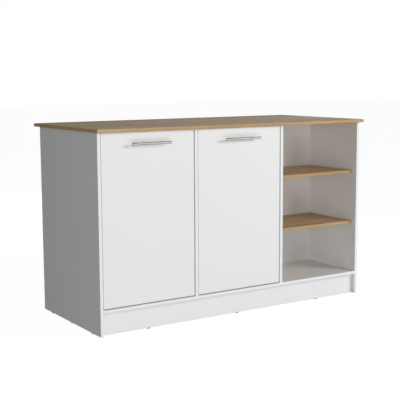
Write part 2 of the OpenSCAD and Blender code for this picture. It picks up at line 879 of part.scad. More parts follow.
// A low cap with a sloped rim over each screw that shows behind, and a peg in the screw's socket
module screw_caps() {
    color("white") in_unit() at_back_screws() {
        translate([0, 0, -cap_rim - cap_crown])
            cylinder(d1 = cap_d - 2 * cap_slope, d2 = cap_d, h = cap_crown);
        rod(cap_d / 2, -cap_rim, 0);
        rod(cap_peg_d / 2, -cap_rim, cap_peg);
    }
}

module kick_blocks() {
    color("white") in_unit() at_blocks() difference() {
        translate([-block_w / 2, 0, 0]) rotate([90, 0, 90]) linear_extrude(block_w)
            polygon([[0, 0], [block_leg, 0], [block_leg, -block_leg + block_chamfer],
                [block_leg - block_chamfer, -block_leg], [0, -block_leg]]);
        translate([block_screw_shift, block_leg, -block_leg / 2]) point_y(-1) block_hole();
        translate([-block_screw_shift, block_leg / 2, -block_leg]) block_hole();
    }
}
module block_hole() {
    rod(screw[2] / 2 + loose_fit, -through, block_sink);
    rod(screw[0] / 2 + fit, 0, block_leg + through);
}
module kick_block_screws() {
    color("gray") in_unit() at_blocks() {
        translate([block_screw_shift, block_leg - block_sink, -block_leg / 2])
            point_y(-1) pan_screw(screw);
        translate([-block_screw_shift, block_leg / 2, -block_leg + block_sink])
            pan_screw(screw);
    }
}

module worktop_brackets() {
    color("silver") in_unit() at_brackets() difference() {
        union() {
            translate([0, -bracket_w / 2, -bracket_leg]) cube([bracket_t, bracket_w, bracket_leg]);
            translate([0, -bracket_w / 2, -bracket_t]) cube([bracket_leg, bracket_w, bracket_t]);
        }
        translate([0, 0, -bracket_hole]) point_x(1) rod(screw[0] / 2 + fit, -through, bracket_t + through);
        translate([bracket_hole, 0, -bracket_t]) rod(screw[0] / 2 + fit, -through, bracket_t + through);
    }
}
module worktop_bracket_screws() {
    color("gray") in_unit() at_brackets() {
        translate([bracket_t, 0, -bracket_hole]) point_x(-1) pan_screw(screw);
        translate([bracket_hole, 0, -bracket_t]) pan_screw(screw);
    }
}

// ---------------------------------------------------------------- glides

module glides() {
    color("dimgray") in_unit() at_glides() difference() {
        rotate_extrude() {
            square([glide_d / 2 - glide_round, glide_h]);
            translate([0, glide_round]) square([glide_d / 2, glide_h - glide_round]);
            translate([glide_d / 2 - glide_round, glide_round]) circle(r = glide_round);
        }
        rod(nail_head_d / 2 + fit, -through, nail_head_z + nail_head_h);
        rod(nail_d / 2 + fit, 0, glide_h + through);
    }
}
module glide_nails() {
    color("gray") in_unit() at_glides() {
        rod(nail_head_d / 2, nail_head_z, nail_head_z + nail_head_h);
        rod(nail_d / 2, nail_head_z, glide_h + nail_bite);
    }
}

// ---------------------------------------------------------------- the unit

worktop();
worktop_edge_bands();
left_side_panel();
right_side_panel();
left_partition();
right_partition();
deck();
kick_board();
back_board();
carcass_edge_bands();
upper_open_shelf();
lower_open_shelf();
open_shelf_edge_bands();
left_cabinet_shelf();
right_cabinet_shelf();
shelf_pins();
left_door();
left_door_edge_bands();
left_handle_bar();
left_handle_posts();
left_handle_screws();
left_hinge_cups();
left_hinge_pins();
left_cup_screws();
right_door();
right_door_edge_bands();
right_handle_bar();
right_handle_posts();
right_handle_screws();
right_hinge_cups();
right_hinge_pins();
right_cup_screws();
hinge_arms();
hinge_arm_screws();
hinge_plates();
hinge_plate_screws();
door_stops();
door_bumpers();
door_stop_screws();
cam_locks();
cam_bolts();
dowels();
assembly_screws();
screw_caps();
kick_blocks();
kick_block_screws();
worktop_brackets();
worktop_bracket_screws();
glides();
glide_nails();
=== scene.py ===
# %% [markdown]
# # A kitchen island, dressed for its photograph
#
# The unit is a flat-pack carcass: white melamine-faced boards, an oak-pattern worktop, two inset
# doors with round bar handles and an open bay with two oak shelves. The CAD model already holds
# every board and every screw at its real size, so this lesson is about what a drawing leaves out:
# the softened arrises of the edge bands, the round metal parts, the printed grain, the fine
# pebble of the melamine, and the soft light of a studio.
#
# Everything is in metres, in the frame of the CAD model: X to the right, Y to the rear, Z up.

import json
from math import pi, radians

import bmesh
import bpy
from mathutils import Matrix, Vector

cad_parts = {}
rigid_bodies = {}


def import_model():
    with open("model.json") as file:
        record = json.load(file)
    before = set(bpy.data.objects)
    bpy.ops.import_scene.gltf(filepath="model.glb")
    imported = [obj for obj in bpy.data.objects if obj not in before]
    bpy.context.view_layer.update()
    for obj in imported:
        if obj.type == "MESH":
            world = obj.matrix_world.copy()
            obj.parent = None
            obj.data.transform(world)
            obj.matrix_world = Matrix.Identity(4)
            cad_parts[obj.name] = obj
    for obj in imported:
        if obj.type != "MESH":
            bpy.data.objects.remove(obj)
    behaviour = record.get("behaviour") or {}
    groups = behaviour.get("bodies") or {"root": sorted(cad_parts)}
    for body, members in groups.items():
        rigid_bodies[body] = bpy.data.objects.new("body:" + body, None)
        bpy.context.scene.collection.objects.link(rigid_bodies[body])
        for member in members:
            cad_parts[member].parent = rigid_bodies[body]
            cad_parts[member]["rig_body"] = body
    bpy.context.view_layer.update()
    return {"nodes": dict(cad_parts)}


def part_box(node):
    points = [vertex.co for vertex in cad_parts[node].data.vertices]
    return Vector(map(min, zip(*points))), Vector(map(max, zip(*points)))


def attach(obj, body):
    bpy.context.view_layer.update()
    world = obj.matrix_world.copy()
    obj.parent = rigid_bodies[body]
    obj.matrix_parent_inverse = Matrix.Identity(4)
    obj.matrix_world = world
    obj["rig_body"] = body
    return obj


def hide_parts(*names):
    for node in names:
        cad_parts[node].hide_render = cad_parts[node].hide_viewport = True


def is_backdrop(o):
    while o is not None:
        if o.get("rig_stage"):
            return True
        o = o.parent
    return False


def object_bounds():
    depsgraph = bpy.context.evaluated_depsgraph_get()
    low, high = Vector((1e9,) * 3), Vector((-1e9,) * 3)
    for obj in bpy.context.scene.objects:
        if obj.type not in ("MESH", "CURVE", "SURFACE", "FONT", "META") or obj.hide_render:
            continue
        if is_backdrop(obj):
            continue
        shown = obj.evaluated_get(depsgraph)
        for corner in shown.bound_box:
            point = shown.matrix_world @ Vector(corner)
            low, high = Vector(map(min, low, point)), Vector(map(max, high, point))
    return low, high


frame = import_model()
MM = 0.001

# %% [markdown]
# ## The camera
#
# The photograph's straight edges run to three vanishing points. Solving them gave the place of
# the lens, its focal length and its aim. The camera is turned in the order that a tripod head
# turns: roll about the lens, tilt up or down, then pan.

# %% Camera
CAMERA_AT = Vector((-2.4426, -3.7337, 1.1188))
CAMERA_PAN, CAMERA_TILT, CAMERA_ROLL = 0.57454, -0.13543, -0.00506
FOCAL_PIXELS, PHOTO_PIXELS, SENSOR_MM = 909.60, 400, 36

lens = bpy.data.cameras.new("photo_camera")
lens.sensor_width = SENSOR_MM
lens.lens = FOCAL_PIXELS / PHOTO_PIXELS * SENSOR_MM
camera = bpy.data.objects.new("photo_camera", lens)
bpy.context.scene.collection.objects.link(camera)
turn = (
    Matrix.Rotation(-CAMERA_PAN, 4, "Z")
    @ Matrix.Rotation(pi / 2 + CAMERA_TILT, 4, "X")
    @ Matrix.Rotation(CAMERA_ROLL, 4, "Z")
)
camera.matrix_world = Matrix.Translation(CAMERA_AT) @ turn
bpy.context.scene.camera = camera
print(f"lens of {lens.lens:.1f} mm")

# %% [markdown]
# ## Building with nodes
#
# Small helpers keep the materials readable. The first adds a node with its settings and its
# inputs, where an input is either a plain value or another node's output. The others are short
# names for the nodes that come up most: sums of numbers and of vectors, a stretched space, a
# noise, a change of range, and a mix of two colours.

# %% Node helpers
def add(tree, kind, inputs=None, **settings):
    node = tree.nodes.new(kind)
    for key, value in settings.items():
        setattr(node, key, value)
    for key, value in (inputs or {}).items():
        if isinstance(value, bpy.types.NodeSocket):
            tree.links.new(value, node.inputs[key])
        else:
            node.inputs[key].default_value = value
    return node


def calc(tree, operation, first, second=0.0, third=0.0, clamp=False):
    inputs = {0: first, 1: second, 2: third}
    return add(tree, "ShaderNodeMath", inputs, operation=operation, use_clamp=clamp).outputs[0]


def vector_calc(tree, operation, first, second=(0, 0, 0)):
    return add(tree, "ShaderNodeVectorMath", {0: first, 1: second}, operation=operation).outputs


def stretch(tree, vector, scale, shift=(0, 0, 0)):
    """The same point in a space that is stretched by 1 / scale along each axis."""
    inputs = {"Vector": vector, "Scale": scale, "Location": shift}
    return add(tree, "ShaderNodeMapping", inputs).outputs[0]


def noise(tree, vector, scale=1.0, detail=2.0, roughness=0.5, distortion=0.0):
    inputs = {"Vector": vector, "Scale": scale, "Detail": detail, "Roughness": roughness,
              "Distortion": distortion}
    return add(tree, "ShaderNodeTexNoise", inputs).outputs[0]


def spread(tree, value, low, high, to_low=0.0, to_high=1.0, smooth=True):
    """Maps low..high of a value to to_low..to_high, and stops there."""
    inputs = {"Value": value, "From Min": low, "From Max": high, "To Min": to_low,
              "To Max": to_high}
    kind = "SMOOTHSTEP" if smooth else "LINEAR"
    return add(tree, "ShaderNodeMapRange", inputs, interpolation_type=kind).outputs[0]


def blend(tree, share, first, second):
    inputs = {0: share, 6: first, 7: second}
    return add(tree, "ShaderNodeMix", inputs, data_type="RGBA").outputs[2]


NOISE_SPAN = (0.3, 0.7)  # a noise seldom leaves it
print("node helpers ready")

# %% [markdown]
# ## Node groups and colours
#
# A pattern that several materials use is a node group, built once. One helper opens a group with
# named sockets, and the other joins the finished values to its output. Colours are written as a
# paint chart gives them, and the last helper turns them into amounts of light.

# %% Group and colour helpers
def start_group(name, inputs, outputs):
    """A new group, the sockets that it is given, and the node that takes what it has made."""
    tree = bpy.data.node_groups.new(name, "ShaderNodeTree")
    kinds = {"vector": "NodeSocketVector", "colour": "NodeSocketColor", "value": "NodeSocketFloat"}
    for label, (kind, value) in inputs.items():
        socket = tree.interface.new_socket(name=label, in_out="INPUT", socket_type=kinds[kind])
        if value is not None:
            socket.default_value = value
    for label, kind in outputs.items():
        tree.interface.new_socket(name=label, in_out="OUTPUT", socket_type=kinds[kind])
    return tree, add(tree, "NodeGroupInput").outputs, add(tree, "NodeGroupOutput")


def end_group(tree, output, **values):
    for label, socket in values.items():
        tree.links.new(socket, output.inputs[label.capitalize()])
    print(f"group {tree.name}: {len(tree.nodes)} nodes")
    return tree


def colour(red, green, blue):
    """A colour as a paint chart gives it, 0 to 255, turned into light by the sRGB curve."""
    def light(c):
        c /= 255
        return c / 12.92 if c <= 0.04045 else ((c + 0.055) / 1.055) ** 2.4
    return (light(red), light(green), light(blue), 1.0)


print("group helpers ready")

# %% [markdown]
# ## Oak pattern
#
# The worktop and the open shelves are chipboard with a printed oak face. Printed oak has four
# layers of figure: slow changes of tone from one part of the board to the next, the arches of
# the growth rings, long fibres, and short dark pores. A noise that is stretched along the board
# gives the fibres and pores. The arches are contour lines of a slower stretched noise, in the
# same way as contour lines make arches round a hill on a map. The grain runs along X.

# %% Oak tones and measures
OAK_LIGHT = colour(201, 171, 130)
OAK_MID = colour(183, 151, 110)
OAK_DARK = colour(144, 111, 74)
OAK_ROUGH = (0.44, 0.50)

# Cells of noise to the metre, along X, Y and Z
TONE_CELLS = (0.9, 5.0, 5.0)
HILL_CELLS, HILL_SHIFT = (0.55, 6.5, 6.5), (0.3, 0.7, 0.2)
FIBRE_CELLS = (7.0, 420.0, 420.0)
PORE_CELLS = (46.0, 1500.0, 1500.0)

# The part of each wave or noise that makes a mark, and how much of the dark tone it brings
RING_MARK, RING_SHARE = (0.25, 1.0), 0.30
FIBRE_MARK, FIBRE_SHARE = (0.42, 0.78), 0.45
PORE_MARK, PORE_SHARE = (0.62, 0.72), 0.35

FIBRE_SPAN, FIBRE_ROUGH, FIBRE_HEIGHT = (0.3, 0.8), 0.08, (0.4, 0.6)
PORE_SINK = 0.6
RING_WAVE = 95.0  # radians, over the full height of the hill
print("rings to the height of the hill:", round(RING_WAVE / (2 * pi)))

# %% Group: oak pattern
tree, given, made = start_group(
    "Oak pattern",
    {"Vector": ("vector", None), "Light": ("colour", OAK_LIGHT), "Mid": ("colour", OAK_MID),
     "Dark": ("colour", OAK_DARK), "Figure": ("value", 1.0)},
    {"Color": "colour", "Roughness": "value", "Height": "value"},
)
point, dark = given["Vector"], given["Dark"]
tone = noise(tree, stretch(tree, point, TONE_CELLS), detail=1.5)
hill = noise(tree, stretch(tree, point, HILL_CELLS, HILL_SHIFT), detail=2.5, roughness=0.42,
             distortion=0.25)
ring = spread(tree, calc(tree, "SINE", calc(tree, "MULTIPLY", hill, RING_WAVE)), *RING_MARK)
fibre = noise(tree, stretch(tree, point, FIBRE_CELLS), detail=4.0, roughness=0.6)
pore = spread(tree, noise(tree, stretch(tree, point, PORE_CELLS), detail=1.0), *PORE_MARK)

base = blend(tree, spread(tree, tone, *NOISE_SPAN), given["Light"], given["Mid"])
fibred = blend(tree, spread(tree, fibre, *FIBRE_MARK, 0.0, FIBRE_SHARE), base, dark)
figure = calc(tree, "MULTIPLY", calc(tree, "MULTIPLY", ring, RING_SHARE), given["Figure"])
ringed = blend(tree, figure, fibred, dark)
pored = blend(tree, calc(tree, "MULTIPLY", pore, PORE_SHARE), ringed, dark)

rough = calc(tree, "ADD", spread(tree, fibre, *FIBRE_SPAN, 0.0, FIBRE_ROUGH),
             spread(tree, tone, *NOISE_SPAN, *OAK_ROUGH))
height = calc(tree, "SUBTRACT", spread(tree, fibre, *FIBRE_SPAN, *FIBRE_HEIGHT),
              calc(tree, "MULTIPLY", pore, PORE_SINK))
oak_group = end_group(tree, made, color=pored, roughness=rough, height=height)

# %% [markdown]
# ## Melamine face
#
# White melamine is a hard paper skin pressed on a steel plate that has a very fine pebble, so
# the board shines softly and never like glass. Its colour is even, with only the faintest
# clouds, and its shine changes a little where hands and cloths have been.

# %% Group: melamine face
CLOUDS, CLOUD_GREY, CLOUD_SHARE = 2.6, colour(205, 205, 203), 0.035
WIPE_CELLS, WIPE_ROUGH = (5.0, 5.0, 2.2), (0.40, 0.50)
PEBBLES = 1100.0  # to the metre

tree, given, made = start_group(
    "Melamine face",
    {"Vector": ("vector", None), "White": ("colour", colour(232, 232, 232))},
    {"Color": "colour", "Roughness": "value", "Height": "value"},
)
point = given["Vector"]
cloud = noise(tree, point, scale=CLOUDS, detail=3.0)
wiped = noise(tree, stretch(tree, point, WIPE_CELLS), detail=4.0, roughness=0.62)
pebble = noise(tree, point, scale=PEBBLES, detail=1.5)
clouded = spread(tree, cloud, *NOISE_SPAN, 0.0, CLOUD_SHARE)
tinted = blend(tree, clouded, given["White"], CLOUD_GREY)
rough = spread(tree, wiped, *NOISE_SPAN, *WIPE_ROUGH)
melamine_group = end_group(tree, made, color=tinted, roughness=rough, height=pebble)

# %% [markdown]
# ## Arris wear
#
# Edges are touched, knocked and wiped more than faces. The group takes the box that a piece
# fills. A point on a box has three distances to its faces, of which the least is zero on the
# surface, so the sum of the three less the greatest is the distance to the nearest edge. Noise
# breaks the rim up, because wear is never even.

# %% Group: arris wear
PATCHES, PATCH_SPAN = 38.0, (0.35, 0.7)
RIM_SPAN = (0.35, 1.4)  # the rim's width goes from this share of Width to that one

tree, given, made = start_group(
    "Arris wear",
    {"Vector": ("vector", None), "Centre": ("vector", None), "Half": ("vector", None),
     "Width": ("value", 2 * MM), "Breakup": ("value", 0.6)},
    {"Mask": "value"},
)
point = given["Vector"]
from_centre = vector_calc(tree, "SUBTRACT", point, given["Centre"])[0]
folded = vector_calc(tree, "ABSOLUTE", from_centre)[0]
inside = vector_calc(tree, "SUBTRACT", given["Half"], folded)[0]
x, y, z = add(tree, "ShaderNodeSeparateXYZ", {0: inside}).outputs
total = calc(tree, "ADD", calc(tree, "ADD", x, y), z)
greatest = calc(tree, "MAXIMUM", calc(tree, "MAXIMUM", x, y), z)
to_edge = calc(tree, "SUBTRACT", total, greatest)
patch = noise(tree, point, scale=PATCHES, detail=4.0, roughness=0.7)
ragged = calc(tree, "MULTIPLY", given["Width"], spread(tree, patch, *PATCH_SPAN, *RIM_SPAN))
rim = calc(tree, "SUBTRACT", 1.0, calc(tree, "DIVIDE", to_edge, ragged), clamp=True)
whole = calc(tree, "SUBTRACT", 1.0, calc(tree, "MULTIPLY", given["Breakup"], patch))
arris_group = end_group(tree, made, mask=calc(tree, "MULTIPLY", rim, whole))

# %% [markdown]
# ## Raw chipboard
#
# Edges that nobody sees are left without a band, and there the board shows its core: pressed
# wood chips in glue. Voronoi cells give the chips, each with its own tint, and a noise darkens
# them where there is more glue.

# %% Group: raw chipboard
CHIPS = 520.0  # to the metre
CHIP_PALE, CHIP_BROWN = colour(196, 164, 120), colour(141, 106, 68)
GLUE_SPOTS, GLUE_BROWN, GLUE_MARK, GLUE_SHARE = 300.0, colour(110, 82, 52), (0.55, 0.75), 0.6

tree, given, made = start_group(
    "Raw chipboard", {"Vector": ("vector", None)}, {"Color": "colour", "Height": "value"}
)
point = given["Vector"]
glue = spread(tree, noise(tree, point, scale=GLUE_SPOTS), *GLUE_MARK, 0.0, GLUE_SHARE)
chips = add(tree, "ShaderNodeTexVoronoi", {"Vector": point, "Scale": CHIPS, "Randomness": 1.0})
tint = add(tree, "ShaderNodeSeparateColor", {0: chips.outputs["Color"]}).outputs[0]
glued = blend(tree, glue, blend(tree, tint, CHIP_PALE, CHIP_BROWN), GLUE_BROWN)
chip_group = end_group(tree, made, color=glued, height=chips.outputs["Distance"])

# %% [markdown]
# ## Worked metal
#
# A brush leaves thousands of fine parallel lines. Noise that is stretched thirty times or more
# along the stroke gives them, for the shine as well as for the height. Stroke says how many
# lines go to the metre along each axis, so equal numbers give tumbled or plated metal with no
# direction. The second noise adds the faint clouds that plating and fingers leave.

# %% Group: worked metal
STAINS, STAIN_MARK = 55.0, (0.35, 0.7)

tree, given, made = start_group(
    "Worked metal",
    {"Vector": ("vector", None), "Stroke": ("vector", None), "Bright": ("colour", None),
     "Dull": ("colour", None), "Smoothest": ("value", 0.2), "Roughest": ("value", 0.35)},
    {"Color": "colour", "Roughness": "value", "Height": "value"},
)
point = given["Vector"]
stroke = noise(tree, stretch(tree, point, given["Stroke"]), detail=3.0, roughness=0.65)
stain = noise(tree, point, scale=STAINS, detail=3.0)
mixed = blend(tree, spread(tree, stain, *STAIN_MARK), given["Bright"], given["Dull"])
shine = spread(tree, stroke, *NOISE_SPAN, given["Smoothest"], given["Roughest"], smooth=False)
metal_group = end_group(tree, made, color=mixed, roughness=shine, height=stroke)

# %% [markdown]
# ## Materials
#
# Each material is a Principled shader fed by the groups. What is the same all over a surface,
# such as being metal, is set on the shader itself. Object coordinates are metres here, because
# every piece keeps its place in its mesh and its origin at the origin of the model, so a
# pattern has its real size and never slides.

# %% Material helpers
GRAIN_DEPTH, PEBBLE_DEPTH, STROKE_DEPTH = 0.05 * MM, 0.02 * MM, 0.01 * MM


def start_material(name, **plain):
    material = bpy.data.materials.new(name)
    material.use_nodes = True
    tree = material.node_tree
    shader = tree.nodes["Principled BSDF"]
    for label, value in plain.items():
        shader.inputs[label.replace("_", " ")].default_value = value
    return material, tree, shader, add(tree, "ShaderNodeTexCoord").outputs["Object"]


def use(tree, group, **inputs):
    """Places a group in a material's tree, and gives it its inputs by name."""
    sockets = {label.capitalize(): value for label, value in inputs.items()}
    return add(tree, "ShaderNodeGroup", sockets, node_tree=group).outputs


def wear(tree, point, box, color, shade, share, **rim):
    """Lays a share of a shade over a colour, along the arrises of a box."""
    low, high = box
    mask = use(tree, arris_group, vector=point, centre=(low + high) / 2, half=(high - low) / 2,
               **rim)["Mask"]
    return blend(tree, calc(tree, "MULTIPLY", mask, share), color, shade)


def dress(tree, shader, color, roughness, height, bump, depth):
    bumps = add(tree, "ShaderNodeBump", {"Height": height, "Strength": bump, "Distance": depth})
    tree.links.new(color, shader.inputs["Base Color"])
    tree.links.new(roughness, shader.inputs["Roughness"])
    tree.links.new(bumps.outputs[0], shader.inputs["Normal"])


print("material helpers ready")

# %% [markdown]
# ### Oak boards and oak bands
#
# The band is the same print on plastic, a little darker and with its rings half as strong. On
# the short ends of the worktop the band's own length runs along Y, so there the point is turned
# a quarter round before the pattern reads it.

# %% Oak materials
BAND_TONES = {"light": colour(194, 163, 119), "mid": colour(177, 144, 100), "figure": 0.5}
WORN_OAK, WORN_OAK_SHARE, WORN_OAK_WIDTH = colour(214, 184, 144), 0.45, 0.9 * MM


def oak(name, band_box=None, turned=False):
    material, tree, shader, point = start_material(name, Specular_IOR_Level=0.4)
    along = point
    if turned:
        quarter = {"Vector": point, "Rotation": (0, 0, pi / 2)}
        along = add(tree, "ShaderNodeMapping", quarter).outputs[0]
    grain = use(tree, oak_group, vector=along, **(BAND_TONES if band_box else {}))
    color = grain["Color"]
    if band_box:
        color = wear(tree, point, band_box, color, WORN_OAK, WORN_OAK_SHARE,
                     width=WORN_OAK_WIDTH)
    dress(tree, shader, color, grain["Roughness"], grain["Height"],
          bump=0.35, depth=GRAIN_DEPTH)
    return material


oak_board = oak("oak_board")
print("oak face ready")

# %% [markdown]
# ### White boards
#
# Each white board gets a material of its own, because two details need to know the board's
# box: the hairline of glue where a band or another board meets its edge, and the sides that
# are left raw. A side is named by its direction and its axis, such as -Z for a bottom.

# %% White boards
WHITE = colour(231, 231, 231)
GLUE_LINE, GLUE_LINE_SHARE, GLUE_LINE_WIDTH = colour(150, 147, 140), 0.5, 0.25 * MM
RAW_SKIN = 0.2 * MM  # a raw side reaches this far into the board
CHIP_RELIEF = 60.0   # the height of the chips against that of the pebble


def white_board(node, raw):
    low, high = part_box(node)
    material, tree, shader, point = start_material("white_" + node, Specular_IOR_Level=0.5)
    face = use(tree, melamine_group, vector=point, white=WHITE)
    color = wear(tree, point, (low, high), face["Color"], GLUE_LINE, GLUE_LINE_SHARE,
                 width=GLUE_LINE_WIDTH, breakup=0.3)
    height = face["Height"]
    chips = use(tree, chip_group, vector=point)
    relief = calc(tree, "MULTIPLY", chips["Height"], CHIP_RELIEF)
    along = add(tree, "ShaderNodeSeparateXYZ", {0: point}).outputs
    for direction, letter in raw:
        axis = "XYZ".index(letter)
        if direction == "-":
            mask = calc(tree, "LESS_THAN", along[axis], low[axis] + RAW_SKIN)
        else:
            mask = calc(tree, "GREATER_THAN", along[axis], high[axis] - RAW_SKIN)
        color = blend(tree, mask, color, chips["Color"])
        height = calc(tree, "ADD", height, calc(tree, "MULTIPLY", mask, relief))
    dress(tree, shader, color, face["Roughness"], height, bump=0.12, depth=PEBBLE_DEPTH)
    return material


RAW_SIDES = {
    "left_side_panel": ["-Z"], "right_side_panel": ["-Z"],
    "left_partition": ["+Y"], "right_partition": ["+Y"],
    "deck": ["+Y"], "kick_board": ["-Z"], "back_board": ["-Z", "+Z"],
    "left_cabinet_shelf": ["-X", "+X", "+Y"], "right_cabinet_shelf": ["-X", "+X", "+Y"],
    "left_door": [], "right_door": [],
}
boards = {node: white_board(node, raw) for node, raw in RAW_SIDES.items()}
print(len(boards), "white boards")

# %% [markdown]
# ### White band, plastics and rubber
#
# The white edge band is a smooth plastic, a touch brighter than the boards. Moulded plastic has
# a spark-eroded texture, finer on the glides, coarser on the blocks and coarsest on the soft
# bumpers, which let a little light into them.

# %% Plastics
BAND_WHITE, BAND_SMOOTHER = colour(232, 233, 234), 0.08
WORN_WHITE, WORN_WHITE_SHARE, WORN_WHITE_WIDTH = colour(206, 205, 202), 0.25, 0.8 * MM
SHADES, ROUGH_SWING = 45.0, 0.06


def white_band(name, box):
    material, tree, shader, point = start_material(name, Specular_IOR_Level=0.45)
    face = use(tree, melamine_group, vector=point, white=BAND_WHITE)
    color = wear(tree, point, box, face["Color"], WORN_WHITE, WORN_WHITE_SHARE,
                 width=WORN_WHITE_WIDTH)
    smoother = calc(tree, "SUBTRACT", face["Roughness"], BAND_SMOOTHER)
    dress(tree, shader, color, smoother, face["Height"], bump=0.05, depth=PEBBLE_DEPTH)
    return material


def plastic(name, base, darker, grain, roughness, bump, **plain):
    material, tree, shader, point = start_material(name, Specular_IOR_Level=0.45, **plain)
    texture = noise(tree, point, scale=grain)
    shaded = spread(tree, noise(tree, point, scale=SHADES), *NOISE_SPAN)
    rough = spread(tree, texture, *NOISE_SPAN, roughness - ROUGH_SWING, roughness + ROUGH_SWING)
    color = blend(tree, shaded, base, darker)
    dress(tree, shader, color, rough, texture, bump=bump, depth=GRAIN_DEPTH)
    return material


moulded_white = plastic("moulded_white", colour(236, 236, 233), colour(226, 226, 221),
                        grain=1600.0, roughness=0.48, bump=0.25)
glide_black = plastic("glide_plastic", colour(30, 30, 30), colour(22, 22, 23),
                      grain=1800.0, roughness=0.60, bump=0.3)
bumper_clear = plastic("bumper_rubber", colour(214, 214, 208), colour(196, 196, 190),
                       grain=700.0, roughness=0.42, bump=0.1,
                       Subsurface_Weight=0.35, Subsurface_Scale=2 * MM)
print("plastics ready")

# %% [markdown]
# ### Metals and wood of the fittings
#
# The handle is brushed along its length. The hinge steel is nickel plated after pressing, the
# screws are zinc plated and duller, and the cam locks are cast zinc, which is greyer and rough.
# The brackets are bent from rolled strip, which keeps its lines. The dowels are plain beech.

# %% Metals
def metal(name, bright, dull, stroke, rough, bump=0.25):
    material, tree, shader, point = start_material(name, Metallic=1.0)
    face = use(tree, metal_group, vector=point, stroke=stroke, bright=bright, dull=dull,
               smoothest=rough[0], roughest=rough[1])
    dress(tree, shader, face["Color"], face["Roughness"], face["Height"],
          bump=bump, depth=STROKE_DEPTH)
    return material


handle_metal = metal("handle_metal", colour(222, 221, 219), colour(206, 205, 203),
                     stroke=(90, 5200, 5200), rough=(0.16, 0.27))
hinge_nickel = metal("hinge_nickel", colour(214, 211, 205), colour(190, 186, 179),
                     stroke=(900, 900, 900), rough=(0.20, 0.34))
screw_zinc = metal("screw_zinc", colour(198, 199, 202), colour(168, 170, 176),
                   stroke=(1400, 1400, 1400), rough=(0.30, 0.46))
cast_zinc = metal("cast_zinc", colour(176, 177, 180), colour(150, 151, 155),
                  stroke=(700, 700, 700), rough=(0.42, 0.60), bump=0.6)
pressed_zinc = metal("pressed_zinc", colour(205, 206, 208), colour(180, 182, 187),
                     stroke=(60, 1800, 1800), rough=(0.28, 0.42))
pin_nickel = metal("pin_nickel", colour(222, 219, 212), colour(200, 196, 188),
                   stroke=(1200, 1200, 1200), rough=(0.18, 0.30))
print("metals ready")

# %% Dowel wood
BEECH_PALE, BEECH_DARK = colour(214, 182, 138), colour(186, 148, 102)
BEECH_CELLS, BEECH_ROUGH = (900.0, 900.0, 60.0), (0.6, 0.75)

dowel_beech, tree, shader, point = start_material("dowel_beech", Specular_IOR_Level=0.3)
fibres = noise(tree, stretch(tree, point, BEECH_CELLS), detail=3.0)
dress(tree, shader, blend(tree, fibres, BEECH_PALE, BEECH_DARK),
      spread(tree, fibres, *NOISE_SPAN, *BEECH_ROUGH), fibres, bump=0.4, depth=GRAIN_DEPTH)
print("dowel wood ready")

# %% [markdown]
# ## Modelling by hand, in code
#
# New pieces are made as they would be by hand: a primitive at its size and place, then edit
# mode. An operator acts on all that is selected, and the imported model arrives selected, so
# everything is deselected first. The origin goes to the model's origin at once, so every
# coordinate in a mesh is a real place, and faces and edges can be picked by where they are.

# %% Modelling helpers
TOUCH = 0.01 * MM  # places that are closer than this are the same place


def only(obj, mode="OBJECT"):
    if bpy.context.mode != "OBJECT":
        bpy.ops.object.mode_set(mode="OBJECT")
    bpy.ops.object.select_all(action="DESELECT")
    obj.select_set(True)
    bpy.context.view_layer.objects.active = obj
    bpy.ops.object.mode_set(mode=mode)


def settle():
    """Moves the last primitive's place and size into its mesh."""
    bpy.ops.object.transform_apply(location=True, rotation=True, scale=True)
    return bpy.context.object


def block(low, high):
    bpy.ops.mesh.primitive_cube_add(size=1, location=(low + high) / 2)
    bpy.context.object.scale = high - low
    return settle()


def rod(start, end, radius, sides):
    """A cylinder from one point to another."""
    aim = (end - start).to_track_quat("Z", "Y").to_euler()
    bpy.ops.mesh.primitive_cylinder_add(vertices=sides, radius=radius,
                                        depth=(end - start).length,
                                        location=(start + end) / 2, rotation=aim)
    return settle()


def pick_edges(obj, wanted):
    """In edit mode, selects the edges for which wanted(middle, direction) is true."""
    bpy.ops.mesh.select_mode(type="EDGE")
    bpy.ops.mesh.select_all(action="DESELECT")
    shape = bmesh.from_edit_mesh(obj.data)
    for edge in shape.edges:
        first, second = (corner.co for corner in edge.verts)
        if wanted((first + second) / 2, (second - first).normalized()):
            edge.select_set(True)
    shape.select_flush_mode()
    bmesh.update_edit_mesh(obj.data)


def pick_faces(obj, wanted):
    """In edit mode, selects the faces for which wanted(middle, normal) is true."""
    bpy.ops.mesh.select_mode(type="FACE")
    bpy.ops.mesh.select_all(action="DESELECT")
    shape = bmesh.from_edit_mesh(obj.data)
    for face in shape.faces:
        face.select_set(wanted(face.calc_center_median(), face.normal))
    bmesh.update_edit_mesh(obj.data)


print("modelling helpers ready")

# %% [markdown]
# ## Finishing a piece
#
# A finished piece shades smoothly over its small bends, and keeps its sharp ones. It gets its
# name and its one material. Then it is told which body it rides on, and the CAD node that it
# stands for is hidden.

# %% Finishing helpers
SMOOTH_BELOW = radians(35)


def coat(data, material):
    data.materials.clear()
    data.materials.append(material)


def finish_piece(obj, name, material, body, node):
    only(obj)
    bpy.ops.object.shade_smooth_by_angle(angle=SMOOTH_BELOW)
    obj.name = obj.data.name = name
    coat(obj.data, material)
    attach(obj, body)
    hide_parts(node)
    return obj


print("finishing helpers ready")

# %% [markdown]
# ## Edge bands
#
# A band is ironed on and its arrises are trimmed with a small rounding cutter. That rounding
# catches a thin line of light, which is what makes a board read as a real board. A block gets
# the band's size, then only the long arrises of its outer face are bevelled: the inner ones lie
# flush against the board and stay sharp. On the worktop's long strips, which make its corners,
# the short arrises of the outer face are rounded as well.

# %% Band helper
LEFT, RIGHT = Vector((-1, 0, 0)), Vector((1, 0, 0))
FRONT, REAR = Vector((0, -1, 0)), Vector((0, 1, 0))


